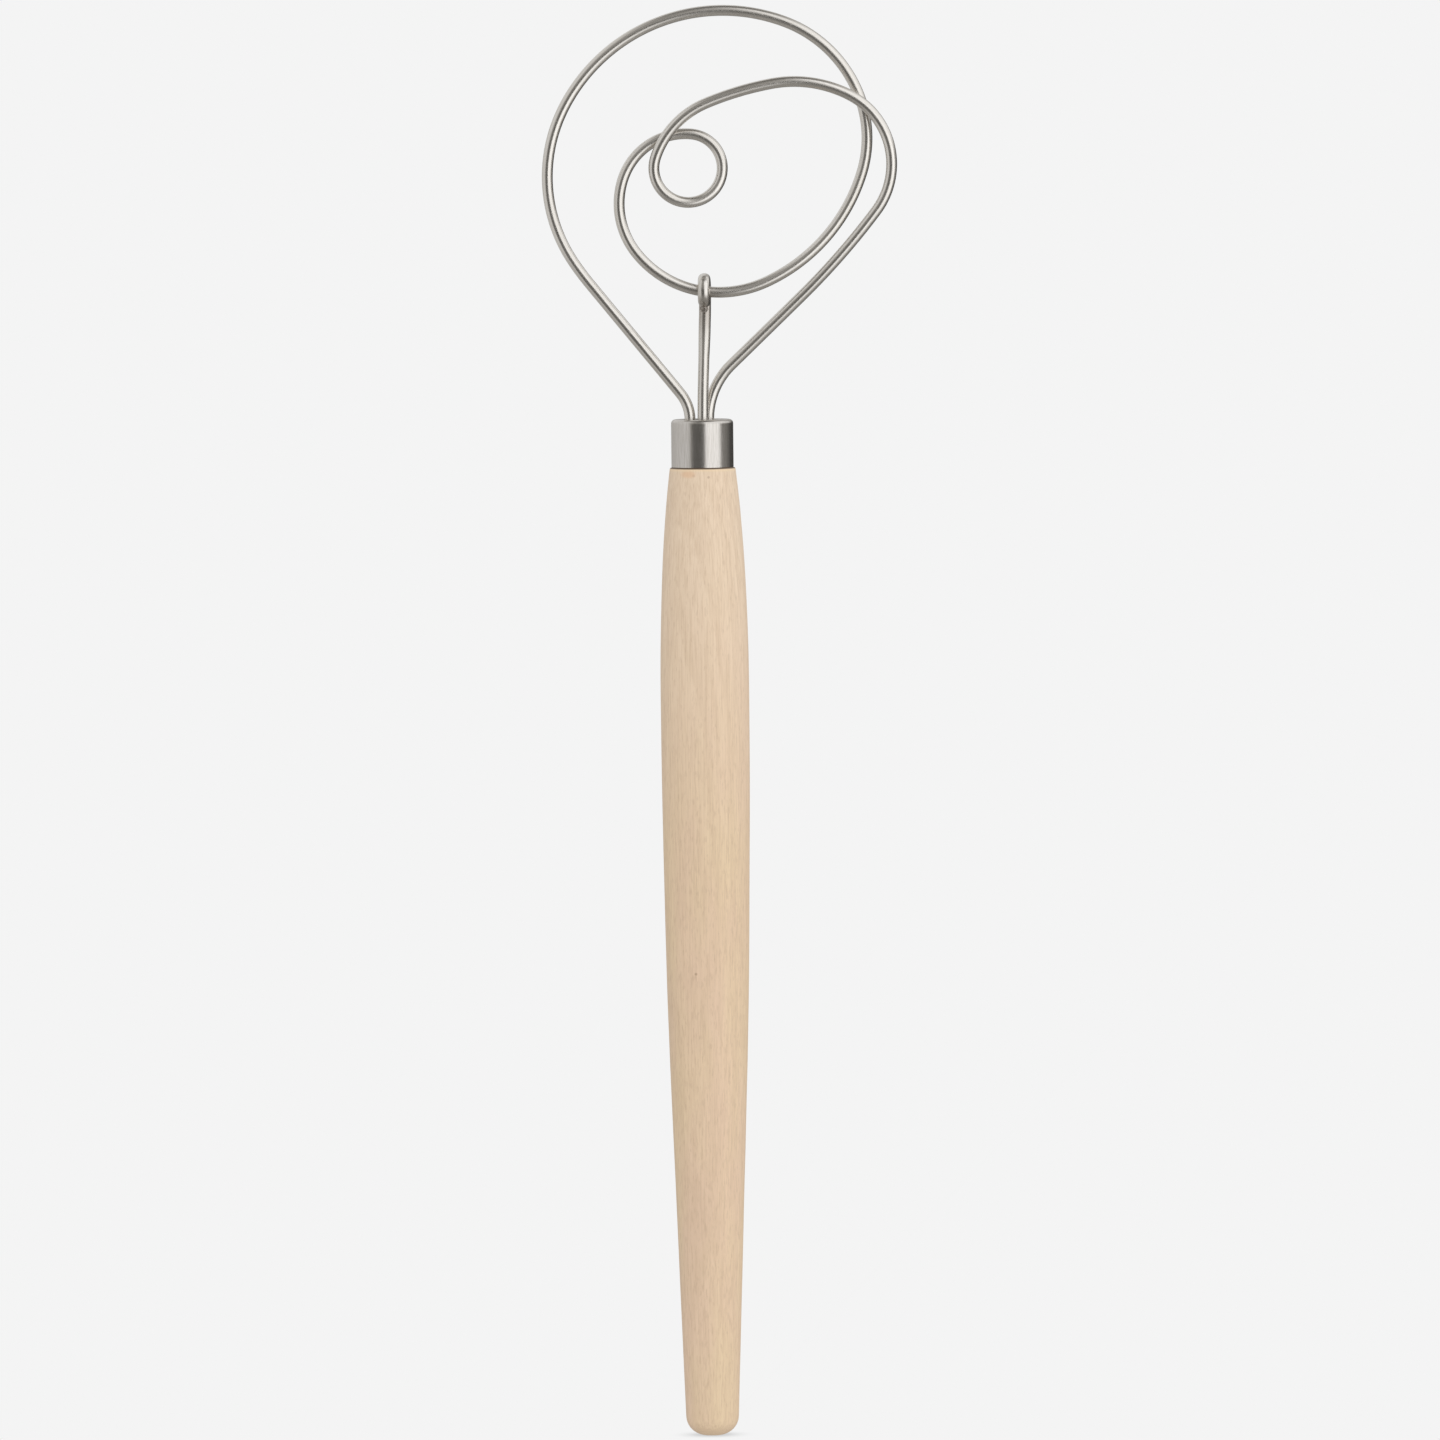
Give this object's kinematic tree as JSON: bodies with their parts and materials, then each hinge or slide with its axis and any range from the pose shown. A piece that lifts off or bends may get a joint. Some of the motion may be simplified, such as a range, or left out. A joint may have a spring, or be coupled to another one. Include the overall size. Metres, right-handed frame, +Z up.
{
  "type": "dough whisk",
  "caption": "Dough whisk: one steel wire bent into flat nested loops and hooked to a centre post, set by a steel ferrule into a turned wooden handle.",
  "frame": {"origin": "centre of the small flat on the handle's butt", "axes": "+Z runs up the handle's axis to the wire head, -Y points out of the head's front, +X points to the side of the wire's crossing"},
  "size_m": [0.0914, 0.0228, 0.3689],
  "materials": {
    "handle_wood": "bare sanded beech",
    "ferrule_steel": "fine turned stainless steel",
    "wire_steel": "drawn stainless steel wire",
    "weld_steel": "heat-stained weld",
    "resin": "cast epoxy"
  },
  "bodies": {
    "root": {"handle": "handle_wood", "ferrule": "ferrule_steel", "loop_wire": "wire_steel", "hook_wire": "wire_steel", "hook_tack_weld": "weld_steel", "bore_resin": "resin"}
  },
  "joints": []
}
